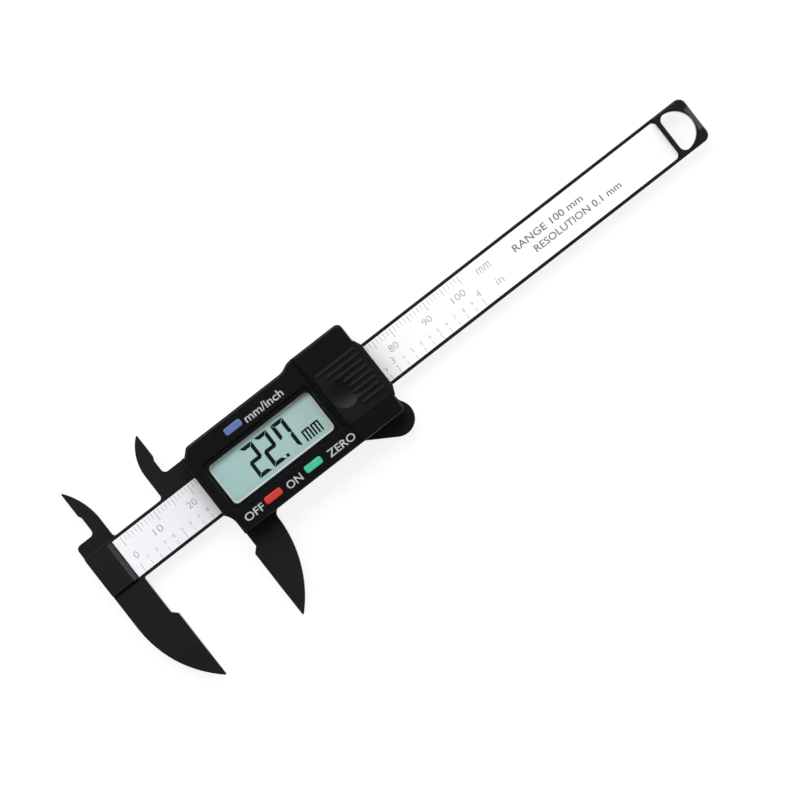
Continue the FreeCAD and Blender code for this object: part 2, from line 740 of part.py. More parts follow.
def build_cover():
    body = new_body("front_cover")
    pad(body, slider_outline(sketch_on(body, "cover_outline", d.frame_top), False),
        d.cover_top - d.frame_top)
    fillet(body, "top_edges", 0.6, lambda e: lies_at(e, d.cover_top))

    # the battery end stands higher, behind a short ramp
    hump = outline(
        sketch_on(body, "battery_hump", d.cover_top - 1),
        (d.slider_right, d.hump_top - 1.4),
        (d.slider_right - 1.4, d.hump_top, 1.4, 1),
        (57.2, d.hump_top),
        (57.2, -5.6),
        (58.7, -8.6),
        (58.7, -d.body_bottom),
        (d.slider_right - 1.2, -d.body_bottom),
        (d.slider_right, -d.body_bottom + 1.2, 1.2, 1),
    )
    pad(body, hump, d.hump_rise + 1)
    chamfer(
        body, "hump_ramp", 0.95,
        lambda e: lies_at(e, hump_level) and middle(e).x < 58.8,
    )
    fillet(
        body, "hump_edges", 0.6,
        lambda e: lies_at(e, hump_level) and middle(e).x > 59.9,
    )

    # a sunken panel with sloping sides frames the display
    x0, x1 = d.window_x - d.window_length / 2, d.window_x + d.window_length / 2
    y0, y1 = -d.window_y - d.window_height / 2, -d.window_y + d.window_height / 2
    panel = rounded(
        sketch_on(body, "display_panel", d.cover_top),
        x0 - 1.1, x1 + 0.8, y0 - 1.3, y1 + 1.5, 1.6,
    )
    pocket(body, panel, d.window_sink, taper=-30)
    opening = rounded(
        sketch_on(body, "window_opening", window_shelf), x0, x1, y0, y1, d.window_radius
    )
    pocket(body, opening, 3)

    # the hollow for the board, display and keys, then the posts that the screws go into
    inner_face, inner_relief = moving_face + d.cover_wall, moving_relief + d.cover_wall
    inside = outline(
        sketch_on(body, "board_room", d.frame_top),
        (inner_relief, -d.body_bottom + d.cover_wall),
        (57.6, -d.body_bottom + d.cover_wall),
        (57.6, d.body_top - d.cover_wall),
        (inner_face + 2.0, d.body_top - d.cover_wall),
        (inner_face, d.body_top - d.cover_wall - 2.0),
        (inner_face, -half_beam - 0.2),
        (inner_face + 0.1, -half_beam - 1.4),
        (inner_relief, -half_beam - 3.4),
    )
    pocket(body, inside, roof_under - d.frame_top, backwards=True)
    posts = sketch_on(body, "case_posts", d.frame_top)
    for x, y in (CASE_SCREWS[0], CASE_SCREWS[2]):
        circle(posts, x, y, CASE_BOSS)
    pad(body, posts, roof_under - d.frame_top + 0.2)
    short_posts = sketch_on(body, "board_posts", board_top)
    for x, y in BOARD_SCREWS:
        circle(short_posts, x, y, BOARD_BOSS)
    pad(body, short_posts, roof_under - board_top + 0.2)
    pilots = sketch_on(body, "case_pilots", d.frame_top)
    for x, y in CASE_SCREWS:
        circle(pilots, x, y, d.screw_shank + d.pin_clear)
    pocket(body, pilots, 4.6, backwards=True)
    short_pilots = sketch_on(body, "board_pilots", board_top)
    for x, y in BOARD_SCREWS:
        circle(short_pilots, x, y, 0.6 + d.pin_clear)
    pocket(body, short_pilots, 3.0, backwards=True)

    # key openings
    openings = sketch_on(body, "key_openings", d.cover_top)
    for x, y in KEYS.values():
        rounded(
            openings,
            x - d.key_length / 2 - d.key_gap, x + d.key_length / 2 + d.key_gap,
            y - d.key_width / 2 - d.key_gap, y + d.key_width / 2 + d.key_gap, 0.6,
        )
    pocket(body, openings, d.roof + 1)

    # the round bay for the coin cell, the grooves for its sliding cover, and weight-saving pockets
    bay = circle(sketch_on(body, "cell_bay", hump_level), d.cell_x, -d.cell_y, d.cell_radius + 0.25)
    pocket(body, bay, hump_level - d.bay_floor)
    half_door = d.door_width / 2
    wide = half_door + d.door_tongue
    middle_y = -d.cell_y
    bed = outline(
        sketch_on(body, "door_bed", hump_level),
        (d.tongue_start, middle_y + half_door + d.door_gap),
        (d.door_left + d.door_corner - 0.06, middle_y + half_door + d.door_gap),
        (d.door_left - d.door_end_gap, middle_y + half_door - d.door_corner - 0.09),
        (d.door_left - d.door_end_gap, middle_y - half_door + d.door_cut_rise + 0.33),
        (d.door_left + d.door_cut_run - 0.06, middle_y - half_door - d.door_gap),
        (d.tongue_start, middle_y - half_door - d.door_gap),
    )
    pocket(body, bed, 1.03)
    groove = outline(
        sketch_on(body, "door_groove", d.tongue_start - d.door_gap, "YZ_Plane"),
        (middle_y + wide + d.door_gap, hump_level - 1.03),
        (middle_y + wide + d.door_gap, hump_level - 0.45),
        (middle_y + half_door + d.door_gap, hump_level - 0.45),
        (middle_y + half_door + d.door_gap, hump_level + 1),
        (middle_y - half_door - d.door_gap, hump_level + 1),
        (middle_y - half_door - d.door_gap, hump_level - 0.45),
        (middle_y - wide - d.door_gap, hump_level - 0.45),
        (middle_y - wide - d.door_gap, hump_level - 1.03),
    )
    pocket(body, groove, 20, backwards=True)
    pockets = sketch_on(body, "core_pockets", d.frame_top)
    rectangle(pockets, 58.8, 65.6, 8.6, d.hump_top - 1.3)
    rectangle(pockets, 65.0, 70.2, -d.body_bottom + 1.3, -8.4)
    pocket(body, pockets, 4.8, backwards=True)

    # slots that let the two battery contacts through from the board's side
    slots = sketch_on(body, "contact_slots", d.frame_top + 0.6)
    rectangle(slots, 57.3, 63.0, -6.0, -2.6)
    pocket(body, slots, 1.0, backwards=True)
    side_slot = rectangle(
        sketch_on(body, "side_contact_slot", d.frame_top + 0.6), 57.3, 60.3, -1.9, 1.4
    )
    pocket(body, side_slot, 5.0, backwards=True)
    return deliver(body, "front_cover")


# ---------------------------------------------------------------- display


def build_display():
    x0, x1 = d.window_x - d.window_length / 2, d.window_x + d.window_length / 2
    y0, y1 = -d.window_y - d.window_height / 2, -d.window_y + d.window_height / 2
    gap = 0.04
    flange = 0.9

    body = new_body("display_window")
    pane = rounded(sketch_on(body, "pane", roof_under - 0.6), x0 - flange, x1 + flange,
                   y0 - flange, y1 + flange, d.window_radius)
    pad(body, pane, 0.6 - 0.01)
    raised = rounded(sketch_on(body, "raised_pane", roof_under - 0.3), x0 + gap, x1 - gap,
                     y0 + gap, y1 - gap, d.window_radius - gap)
    pad(body, raised, window_shelf - roof_under + 0.3)
    deliver(body, "display_window")

    mask_top = roof_under - 0.61
    body = new_body("display_mask")
    sketch = sketch_on(body, "mask", mask_top - 0.1)
    rounded(sketch, x0 - flange, x1 + flange, y0 - flange, y1 + flange, d.window_radius)
    rounded(sketch, x0 + d.border, x1 - d.border, y0 + d.border, y1 - d.border,
            d.window_radius - 0.3)
    pad(body, sketch, 0.1)
    deliver(body, "display_mask")

    front_top = mask_top - 0.11
    rear_top = front_top - d.glass_thick
    layers = [
        ("lcd_front_glass", rear_top + 0.01, front_top, 1.4),
        ("lcd_rear_glass", rear_top - d.glass_thick, rear_top, -0.05),
        ("lcd_reflector", rear_top - d.glass_thick - 0.13, rear_top - d.glass_thick - 0.01, -0.15),
    ]
    for label, low, high, reach in layers:
        deliver(block("sheet_" + label, x0 - 0.6, x1 + 0.6, y0 - reach, y1 + reach, low, high), label)
    for label, low, high in (
        ("contact_strip_upper", y1 + 0.15, y1 + 1.25),
        ("contact_strip_lower", y0 - 1.25, y0 - 0.15),
    ):
        deliver(block("rubber_" + label, x0 + 1, x1 - 1, low, high, board_top, rear_top), label)


# ---------------------------------------------------------------- circuit board and what is on it


def build_electronics():
    body = new_body("circuit_board")
    notch_x, notch = 29.5, 2.35
    low, high = -d.body_bottom + d.cover_wall + 0.15, d.body_top - d.cover_wall - 0.15
    board = outline(
        sketch_on(body, "board_outline", d.board_floor),
        (57.3, low), (57.3, high), (notch_x, high),
        (notch_x, CASE_SCREWS[0][1] - notch), (moving_face + 1.4, CASE_SCREWS[0][1] - notch),
        (moving_face + 1.4, CASE_SCREWS[2][1] + notch), (notch_x, CASE_SCREWS[2][1] + notch),
        (notch_x, low),
    )
    pad(body, board, d.board_thick)
    holes = sketch_on(body, "board_holes", board_top)
    for x, y in BOARD_SCREWS:
        circle(holes, x, y, 0.75)
    pocket(body, holes, d.board_thick + 1)
    deliver(body, "circuit_board")

    pads = []
    for i in range(8):
        left = 30.0 + i * 3.2
        pads.append(block(f"reader_pad_{i}", left, left + 2.4, -4.2, 4.2,
                          d.board_floor - 0.045, d.board_floor))
    group("reader_electrodes", pads)

    body = new_body("chip_cap")
    pad(body, circle(sketch_on(body, "chip_outline", board_top), 37.5, -d.window_y, 3.6), 1.3)
    fillet(body, "chip_dome", 1.1, lambda e: lies_at(e, board_top + 1.3))
    deliver(body, "chip_cap")

    parts = []
    for i in range(6):
        left = 45.0 + (i % 3) * 2.6
        low = -3.4 + (i // 3) * 4.6
        parts.append(block(f"capacitor_{i}", left, left + 1.6, low, low + 0.8,
                           board_top, board_top + 0.7))
    group("board_capacitors", parts)
    deliver(drum_lying("crystal_can", 48.6, 53.6, 0.3, board_top + 0.75, 0.7), "quartz_crystal")


def drum_lying(name, x0, x1, y, z, radius):
    """A Part cylinder lying along X."""
    x0, x1, y, z, radius = (as_size(v) for v in (x0, x1, y, z, radius))
    cylinder = doc.addObject("Part::Cylinder", name)
    cylinder.Placement = Placement(Vector(), Rotation(Vector(0, 1, 0), 90))
    for prop, size in (
        ("Radius", radius), ("Height", x1 - x0),
        ("Placement.Base.x", x0 - centre_x), ("Placement.Base.y", y - centre_y),
        ("Placement.Base.z", z),
    ):
        bind(cylinder, prop, size)
    return cylinder


# ---------------------------------------------------------------- scale strip and label


def build_scale():
    floor = beam_top - d.recess_depth
    strip_top = floor + 0.8
    clear = 0.06
    half = half_beam - d.rail_width - clear

    def strip_outline(sketch, reach):
        return outline(
            sketch,
            (-d.scale_start + clear, -reach),
            (d.scale_end - d.scale_radius, -reach),
            (d.scale_end - clear, -reach + d.scale_radius - clear, d.scale_radius - clear, 1),
            (d.scale_end - clear, reach - d.scale_radius + clear),
            (d.scale_end - d.scale_radius, reach, d.scale_radius - clear, 1),
            (-d.scale_start + clear, reach),
        )

    body = new_body("scale_circuit_strip")
    pad(body, strip_outline(sketch_on(body, "strip_outline", floor), half), 0.8)
    deliver(body, "scale_circuit_strip")

    pitch = 5.08
    count = int((SIZES["scale_end"] - 6) // pitch)
    pads = [
        block(f"stator_pad_{i}", 1.0 + i * pitch, 1.0 + i * pitch + pitch / 2, -3.6, 3.6,
              strip_top, strip_top + 0.035)
        for i in range(count)
    ]
    group("stator_electrodes", pads)

    body = new_body("scale_label")
    pad(body, strip_outline(sketch_on(body, "label_outline", strip_top + 0.04), half), 0.09)
    deliver(body, "scale_label")


# ---------------------------------------------------------------- keys


def build_keys():
    flange_top = roof_under - 0.05
    flange_floor = flange_top - 0.6
    stem_floor = flange_floor - 1.2
    for label, (x, y) in KEYS.items():
        half_x, half_y = d.key_length / 2, d.key_width / 2
        body = new_body(label)
        flange = rounded(
            sketch_on(body, label + "_flange", flange_floor),
            x - half_x - d.key_flange, x + half_x + d.key_flange,
            y - half_y - d.key_flange, y + half_y + d.key_flange, 0.5,
        )
        pad(body, flange, 0.6)
        cap = rounded(
            sketch_on(body, label + "_cap", flange_top - 0.3),
            x - half_x, x + half_x, y - half_y, y + half_y, 0.55,
        )
        pad(body, cap, key_top - flange_top + 0.3)
        stem = circle(sketch_on(body, label + "_stem", stem_floor), x, y, 0.9)
        pad(body, stem, 1.3)
        fillet(body, label + "_crown", 0.3, lambda e: lies_at(e, key_top))
        deliver(body, label)

        dome = doc.addObject("Part::Cone", label + "_dome")
        for prop, size in (
            ("Radius1", as_size(1.35)), ("Radius2", as_size(0.8)),
            ("Height", stem_floor - board_top - 0.02),
            ("Placement.Base.x", x - centre_x), ("Placement.Base.y", y - centre_y),
            ("Placement.Base.z", board_top),
        ):
            bind(dome, prop, size)
        deliver(dome, label.replace("key_", "key_dome_"))


# ---------------------------------------------------------------- coin cell, contacts and sliding cover


def build_power():
    body = new_body("coin_cell")
    rim = d.cell_radius
    profile = outline(
        sketch_on(body, "cell_profile", 0, "XZ_Plane"),
        (0, 0), (rim - 1.2, 0), (rim - 0.9, 0.3, 0.3, 1), (rim - 0.5, 0.3), (rim, 0.8, 0.5, 1),
        (rim, d.cell_height - 0.4), (rim - 0.4, d.cell_height, 0.4, 1), (0, d.cell_height),
    )
    turn = body.newObject("PartDesign::Revolution", "cell_turn")
    turn.Profile = profile
    turn.ReferenceAxis = (profile, ["V_Axis"])
    turn.Angle = 360
    settle(turn)
    body.Label = "coin_cell"
    bind(body, "Placement.Base.x", d.cell_x - centre_x)
    bind(body, "Placement.Base.y", -d.cell_y - centre_y)
    bind(body, "Placement.Base.z", d.cell_floor)
    made.append(body)

    # flat springs bent from strip: their side view is drawn on XZ and widened along Y
    leaf = 0.2
    board = board_top + 0.01
    under = d.cell_floor - 0.02
    body = new_body("battery_contact_negative")
    side = outline(
        sketch_on(body, "negative_profile", 2.9, "XZ_Plane"),
        (54.6, board), (58.0, board), (59.6, under - leaf), (65.5, under - leaf),
        (65.5, under), (59.5, under), (57.9, board + leaf), (54.6, board + leaf),
    )
    pad(body, side, 2.8)
    deliver(body, "battery_contact_negative")

    touch = d.cell_x - d.cell_radius - 0.02
    body = new_body("battery_contact_positive")
    side = outline(
        sketch_on(body, "positive_profile", -1.1, "XZ_Plane"),
        (54.6, board), (58.1, board), (58.1, board + 2.0), (touch, board + 3.2),
        (58.3, board + 4.4), (58.1, board + 4.4), (touch - leaf - 0.05, board + 3.2),
        (57.9, board + 2.0), (57.9, board + leaf), (54.6, board + leaf),
    )
    pad(body, side, 2.6)
    deliver(body, "battery_contact_positive")


def build_door():
    """The ribbed battery cover: a tongued plate that slides out along X, with a grip lip at its end."""
    body = new_body("battery_door")
    half_door = d.door_width / 2
    wide = half_door + d.door_tongue
    y = -d.cell_y
    plate = outline(
        sketch_on(body, "door_profile", d.door_left, "YZ_Plane"),
        (y + wide, hump_level - 0.95), (y + wide, hump_level - 0.53),
        (y + half_door, hump_level - 0.53), (y + half_door, hump_level),
        (y - half_door, hump_level), (y - half_door, hump_level - 0.53),
        (y - wide, hump_level - 0.53), (y - wide, hump_level - 0.95),
    )
    pad(body, plate, d.slider_right - d.door_left + 0.08)

    # the tongues start behind the cut corners of the inner end
    corners = sketch_on(body, "door_corners", hump_level)
    outline(
        corners,
        (d.tongue_start, y + wide + 0.5), (d.door_left - 1, y + wide + 0.5),
        (d.door_left - 1, y + half_door - d.door_corner), (d.door_left, y + half_door - d.door_corner),
        (d.door_left + d.door_corner, y + half_door), (d.tongue_start, y + half_door),
    )
    outline(
        corners,
        (d.tongue_start, y - wide - 0.5), (d.tongue_start, y - half_door),
        (d.door_left + d.door_cut_run, y - half_door), (d.door_left, y - half_door + d.door_cut_rise),
        (d.door_left - 1, y - half_door + d.door_cut_rise), (d.door_left - 1, y - wide - 0.5),
    )
    pocket(body, corners, 2)
    lip = outline(
        sketch_on(body, "door_lip", hump_level - 3.2),
        (d.slider_right + 0.08, y - 8.3), (d.door_right, y - 6.0),
        (d.door_right, y + 6.0), (d.slider_right + 0.08, y + 8.3),
    )
    pad(body, lip, 3.2)

    # a shallow round dish for the thumb, turned about a vertical axis
    dish_depth, dish_reach = 0.4, 3.5
    dish_radius = (dish_reach ** 2 + dish_depth ** 2) / (2 * dish_depth)
    profile = sketch_on(body, "thumb_dish", d.cell_y + 0.4, "XZ_Plane")
    bind(profile, "AttachmentOffset.Base.x", d.door_left + 3.6)
    outline(
        profile,
        (dish_reach, hump_level + 0.5), (0, hump_level + 0.5), (0, hump_level - dish_depth),
        (dish_reach, hump_level, dish_radius, 1),
    )
    groove = body.newObject("PartDesign::Groove", "thumb_dish_turn")
    groove.Profile = profile
    groove.ReferenceAxis = (profile, ["V_Axis"])
    groove.Angle = 360
    before = volume(body)
    settle(groove)
    if volume(body) > before - 1e-3:
        raise RuntimeError("the thumb dish cut nothing")

    # ribs along the sliding direction; the lower ones reach down into the dish
    ribs = sketch_on(body, "grip_ribs", hump_level - 0.45)
    for i in range(8):
        centre = y + 6.4 - i * d.rib_pitch
        start = 59.3 + 4.9 * math.sin(min(i / 4.0, 1.0) * math.pi / 2)
        rounded(ribs, start, 70.9, centre - d.rib_width / 2, centre + d.rib_width / 2, 0.4)
    pad(body, ribs, d.rib_rise + 0.45)
    crest = hump_level + d.rib_rise
    fillet(body, "rib_crests", 0.3, lambda e: lies_at(e, crest))
    fillet(
        body, "lip_edge", 0.4,
        lambda e: lies_at(e, hump_level) and middle(e).x > SIZES["slider_right"] + 0.2,
    )
    deliver(body, "battery_door")


# ---------------------------------------------------------------- spring and screws


def build_spring():
    """A bowed steel strip in the channel's upper wall presses the beam against the lower wall."""
    body = new_body("pressure_spring")
    half_span, rise, leaf = 16.0, 0.72, 0.18
    inner = (half_span ** 2 + rise ** 2) / (2 * rise)
    centre = 48.0
    low = half_beam + 0.04
    strip = outline(
        sketch_on(body, "spring_outline", 2.1),
        (centre + half_span, low + rise + leaf),
        (centre - half_span, low + rise + leaf, inner, -1),
        (centre - half_span, low + rise),
        (centre + half_span, low + rise, inner, 1),
    )
    pad(body, strip, 2.2)
    deliver(body, "pressure_spring")


def screw(name, x, y, head_floor, head_height, head_radius, tip, radius):
    """A pan screw pointing up, its head below: head, shank and a cross recess in the head."""
    head_top = head_floor + head_height
    solid = fuse(
        name + "_blank",
        drum(name + "_head", x, y, head_floor, head_top, head_radius),
        drum(name + "_shank", x, y, head_top - 0.1, tip, radius),
    )
    arm, width, depth = head_radius * 0.62, head_radius * 0.14, head_height * 0.55
    cross = fuse(
        name + "_cross",
        block(name + "_slot_a", x - arm, x + arm, y - width, y + width, head_floor - 0.5,
              head_floor + depth),
        block(name + "_slot_b", x - width, x + width, y - arm, y + arm, head_floor - 0.5,
              head_floor + depth),
    )
    return cut(name, solid, cross)


def build_screws():
    case = [
        screw(f"case_screw_{i}", x, y, as_size(0.35), as_size(1.2), d.screw_head, as_size(9.2),
              d.screw_shank)
        for i, (x, y) in enumerate(CASE_SCREWS)
    ]
    group("case_screws", case)
    board = [
        screw(f"board_screw_{i}", x, y, d.board_floor - 0.75, as_size(0.72), as_size(1.25),
              as_size(8.4), as_size(0.6))
        for i, (x, y) in enumerate(BOARD_SCREWS)
    ]
    group("board_screws", board)


# ---------------------------------------------------------------- build, check and write


def main():
    build_beam()
    build_scale()
    build_frame()
    build_cover()
    build_display()
    build_electronics()
    build_keys()
    build_power()
    build_door()
    build_spring()
    build_screws()
    doc.recompute()

    for thing in doc.Objects:
        if "Invalid" in thing.State or "Error" in thing.State:
            raise RuntimeError(f"{thing.Name} failed: {thing.State}")
    os.makedirs("parts", exist_ok=True)
    for piece in made:
        shape = piece.Shape
        if shape.isNull() or not shape.isValid() or not shape.Solids:
            raise RuntimeError(f"{piece.Label} is not a valid solid")
        shape.exportStep(os.path.join("parts", piece.Label + ".step"))
        print(f"{piece.Label:28s} solids {len(shape.Solids):3d} volume {shape.Volume:9.2f}")


main()
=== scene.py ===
"""Looks of the digital caliper: materials, printed scales and legends, display, light, camera."""

import math

import bmesh
import bpy
from mathutils import Matrix, Vector


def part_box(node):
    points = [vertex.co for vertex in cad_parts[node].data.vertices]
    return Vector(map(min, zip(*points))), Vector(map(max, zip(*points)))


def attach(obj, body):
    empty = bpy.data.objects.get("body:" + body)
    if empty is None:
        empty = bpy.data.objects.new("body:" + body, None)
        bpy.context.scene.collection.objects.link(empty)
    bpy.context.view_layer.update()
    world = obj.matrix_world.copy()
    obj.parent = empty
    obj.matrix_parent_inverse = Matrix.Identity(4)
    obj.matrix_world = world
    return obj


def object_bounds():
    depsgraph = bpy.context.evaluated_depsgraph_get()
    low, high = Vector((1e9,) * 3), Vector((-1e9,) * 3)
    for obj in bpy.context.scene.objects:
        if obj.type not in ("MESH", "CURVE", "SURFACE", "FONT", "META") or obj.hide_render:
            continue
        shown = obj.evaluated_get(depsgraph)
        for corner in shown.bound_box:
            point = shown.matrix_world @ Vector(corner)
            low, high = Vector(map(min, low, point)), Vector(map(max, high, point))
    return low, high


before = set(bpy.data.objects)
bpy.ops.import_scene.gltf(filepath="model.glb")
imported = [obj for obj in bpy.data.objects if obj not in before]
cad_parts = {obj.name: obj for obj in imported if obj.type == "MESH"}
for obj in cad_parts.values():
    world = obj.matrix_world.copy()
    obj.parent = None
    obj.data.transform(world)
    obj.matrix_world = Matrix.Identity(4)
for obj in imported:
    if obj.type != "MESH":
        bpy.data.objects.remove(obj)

cad_low, cad_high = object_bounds()

MM = 0.001
INCH = 25.4

# The drawing frame of the scales and legends, in millimetres: X from the fixed jaw's measuring
# face, Y from the beam's centreline.
HEAD_BACK = 9.85
JAW_TIP = 35.8
beam_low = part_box("beam")[0]
ORIGIN_X = beam_low.x + HEAD_BACK * MM
ORIGIN_Y = beam_low.y + JAW_TIP * MM

# Heights that the prints lie on, and their own thickness.
BATTERY_END_RISE = 1.0 * MM
LABEL_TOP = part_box("scale_label")[1].z
COVER_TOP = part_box("front_cover")[1].z - BATTERY_END_RISE
GLASS_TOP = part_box("lcd_front_glass")[1].z
INK = 0.008 * MM

# Lettering: height of a capital at size 1, and the outward swelling of a bolder word.
CAPITAL = 0.73
BOLD = 0.012

# Scale ticks and numbers, in millimetres.
MM_EDGE, MM_LONG, MM_HALF, MM_SHORT = 4.9, 2.4, 2.9, 3.5
INCH_EDGE, INCH_LONG, INCH_HALF, INCH_SHORT = -4.95, -2.9, -3.3, -3.8
WIDE_TICK, MM_TICK, INCH_TICK = 0.17, 0.13, 0.14
MM_RANGE, INCH_TENTHS = 100, 40

# Display figures, in millimetres: foot, head, stroke, and the gap between two bars.
FIGURE_LOW, FIGURE_HIGH, FIGURE_STROKE, BAR_GAP = -4.45, 3.9, 0.95, 0.06
POINT_SIZE = 0.8

# Floor, light and camera.
FLOOR_SIZE = 4.0
FLOOR_DROP = 0.02 * MM
FLOOR_GLOW = 0.84
WALL, NEAR_WALL, CEILING = 0.75, 0.15, 0.04
WALL_TOP, CEILING_EDGE = 0.8, 0.975
WALL_SIDE, NEAR_SIDE, FAR_SIDE = (0.9, 0.3, 0.0), -0.2, 0.9
KEY_POWER = 10.5
VIEW_WIDTH = 187.55 * MM
VIEW_CENTRE = (71.78, -9.96)
VIEW_TURN = 37.865
VIEW_LEVEL = 8.0 * MM
LENS, SENSOR = 250.0, 36.0


# ---------------------------------------------------------------- materials


def srgb(red, green, blue):
    """Linear colour from 0-255 display values."""
    values = []
    for v in (red / 255, green / 255, blue / 255):
        values.append(v / 12.92 if v <= 0.04045 else ((v + 0.055) / 1.055) ** 2.4)
    return (*values, 1.0)


def set_range(node, low, high, to_low, to_high):
    """Sets a Map Range node to carry low..high over to to_low..to_high."""
    names = ("From Min", "From Max", "To Min", "To Max")
    for name, number in zip(names, (low, high, to_low, to_high)):
        node.inputs[name].default_value = number


class Nodes:
    """A material's node tree with a Principled shader and short ways to add nodes."""

    def __init__(self, name):
        self.material = bpy.data.materials.new(name)
        self.material.use_nodes = True
        self.tree = self.material.node_tree
        self.shader = next(n for n in self.tree.nodes if n.type == "BSDF_PRINCIPLED")

    def add(self, kind, **settings):
        node = self.tree.nodes.new(kind)
        for key, value in settings.items():
            setattr(node, key, value)
        return node

    def link(self, source, target):
        self.tree.links.new(source, target)

    def coordinates(self, stretch=(1, 1, 1)):
        place = self.add("ShaderNodeTexCoord")
        mapping = self.add("ShaderNodeMapping")
        mapping.inputs["Scale"].default_value = stretch
        self.link(place.outputs["Object"], mapping.inputs["Vector"])
        return mapping.outputs["Vector"]

    def noise(self, vector, size_mm, detail=3.0, roughness=0.55):
        node = self.add("ShaderNodeTexNoise")
        node.inputs["Scale"].default_value = 1000.0 / size_mm
        node.inputs["Detail"].default_value = detail
        node.inputs["Roughness"].default_value = roughness
        self.link(vector, node.inputs["Vector"])
        return node.outputs["Fac"]

    def remap(self, value, low, high, to_low, to_high):
        node = self.add("ShaderNodeMapRange")
        set_range(node, low, high, to_low, to_high)
        self.link(value, node.inputs["Value"])
        return node.outputs["Result"]

    def mix(self, factor, first, second):
        node = self.add("ShaderNodeMix", data_type="RGBA")
        self.link(factor, node.inputs["Factor"])
        for socket, colour in ((node.inputs[6], first), (node.inputs[7], second)):
            if isinstance(colour, tuple):
                socket.default_value = colour
            else:
                self.link(colour, socket)
        return node.outputs[2]

    def bump(self, height, depth_mm):
        node = self.add("ShaderNodeBump")
        node.inputs["Strength"].default_value = 1.0
        node.inputs["Distance"].default_value = depth_mm * MM
        self.link(height, node.inputs["Height"])
        return node.outputs["Normal"]


MATERIALS = {}


def material(name, light, dark, blotch, rough, grain, depth, stretch=(1, 1, 1), **sockets):
    """Adds a surface that drifts between two colours and two roughnesses, with a fine grain.

    blotch and grain are the sizes of the drift and the grain, and depth the grain's, all in
    millimetres. stretch scales the pattern's coordinates; sockets are further shader inputs.
    """
    n = Nodes(name)
    vector = n.coordinates(stretch)
    drift = n.noise(vector, blotch)
    n.link(n.mix(n.remap(drift, 0.3, 0.7, 0, 1), dark, light), n.shader.inputs["Base Color"])
    n.link(n.remap(drift, 0.3, 0.7, rough[1], rough[0]), n.shader.inputs["Roughness"])
    n.link(n.bump(n.noise(vector, grain, 2.0), depth), n.shader.inputs["Normal"])
    for key, value in sockets.items():
        n.shader.inputs[key.replace("_", " ").title().replace("Ior", "IOR")].default_value = value
    MATERIALS[name] = n.material


def label_material():
    """Silvery white film: fine streaks along the beam, and painted shade greying it near the fixed
    jaw.
    """
    n = Nodes("label_film")
    vector = n.coordinates((0.05, 1, 1))
    streak = n.noise(vector, 0.35, 4.0, 0.6)
    cloud = n.noise(n.coordinates(), 5.0)
    place = n.add("ShaderNodeTexCoord")
    split = n.add("ShaderNodeSeparateXYZ")
    n.link(place.outputs["Object"], split.inputs["Vector"])
    # Painted light and shade: the film's colour runs from grey at the fixed jaw to near white
    # towards the tail, standing in for light that falls more strongly from the tail's side.
    along = n.remap(split.outputs["X"], ORIGIN_X, ORIGIN_X + 110 * MM, 0, 1)
    plain = n.mix(along, srgb(238, 239, 242), srgb(252, 252, 252))
    shaded = n.mix(n.remap(cloud, 0.35, 0.65, 0, 0.3), plain, srgb(230, 232, 236))
    n.link(n.mix(n.remap(streak, 0.4, 0.7, 0, 0.2), shaded, srgb(224, 226, 230)),
           n.shader.inputs["Base Color"])
    n.link(n.remap(streak, 0.3, 0.7, 0.32, 0.45), n.shader.inputs["Roughness"])
    n.link(n.bump(streak, 0.002), n.shader.inputs["Normal"])
    return n.material


def display_material():
    """The display's polariser: grey-green, a little deeper to the left, faintly grained."""
    n = Nodes("display_glass")
    place = n.add("ShaderNodeTexCoord")
    split = n.add("ShaderNodeSeparateXYZ")
    n.link(place.outputs["Object"], split.inputs["Vector"])
    glass_low, glass_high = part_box("lcd_front_glass")
    along = n.remap(split.outputs["X"], glass_low.x, glass_high.x, 0, 1)
    tint = n.mix(along, srgb(174, 213, 210), srgb(184, 215, 209))
    cloud = n.noise(n.coordinates(), 4.0)
    grain = n.noise(n.coordinates(), 0.12, 1.0)
    tint = n.mix(n.remap(cloud, 0.35, 0.65, 0, 0.3), tint, srgb(178, 206, 202))
    n.link(n.mix(n.remap(grain, 0.35, 0.7, 0, 0.06), tint, srgb(156, 190, 184)),
           n.shader.inputs["Base Color"])
    n.link(n.remap(grain, 0.3, 0.7, 0.3, 0.4), n.shader.inputs["Roughness"])
    n.link(n.bump(cloud, 0.002), n.shader.inputs["Normal"])
    return n.material


material("frame_black", srgb(27, 27, 29), srgb(18, 18, 19), 11.0, (0.27, 0.37), 0.16, 0.004,
         specular_ior_level=0.25)
material("cover_black", srgb(14, 15, 16), srgb(8, 8, 9), 7.0, (0.28, 0.38), 0.16, 0.004,
         specular_ior_level=0.15)
material("door_black", srgb(12, 13, 14), srgb(7, 7, 8), 7.0, (0.34, 0.44), 0.16, 0.004,
         specular_ior_level=0.2)
MATERIALS["label_film"] = label_material()
MATERIALS["display_glass"] = display_material()
material("strip_laminate", srgb(72, 110, 66), srgb(50, 84, 48), 4.0, (0.35, 0.5), 0.3, 0.01)
material("copper", srgb(212, 140, 98), srgb(170, 98, 62), 3.0, (0.22, 0.4), 0.2, 0.002,
         (0.2, 1, 1), metallic=1.0)
material("window_clear", srgb(30, 37, 36), srgb(24, 30, 29), 6.0, (0.04, 0.09), 3.0, 0.001,
         alpha=0.07)
material("mask_grey", srgb(238, 243, 242), srgb(224, 231, 230), 2.0, (0.5, 0.65), 0.1, 0.002)
material("rear_glass", srgb(150, 180, 172), srgb(128, 160, 152), 5.0, (0.1, 0.18), 2.0, 0.001,
         alpha=0.6)
material("reflector_film", srgb(200, 205, 200), srgb(176, 182, 178), 1.0, (0.3, 0.45), 0.08,
         0.003, (0.1, 1, 1), metallic=0.9)
material("silicone", srgb(206, 206, 200), srgb(184, 184, 178), 1.5, (0.6, 0.75), 0.1, 0.004,
         subsurface_weight=0.15)
material("contact_rubber", srgb(222, 150, 170), srgb(196, 120, 142), 0.4, (0.55, 0.7), 0.1, 0.004,
         (1, 1, 6))
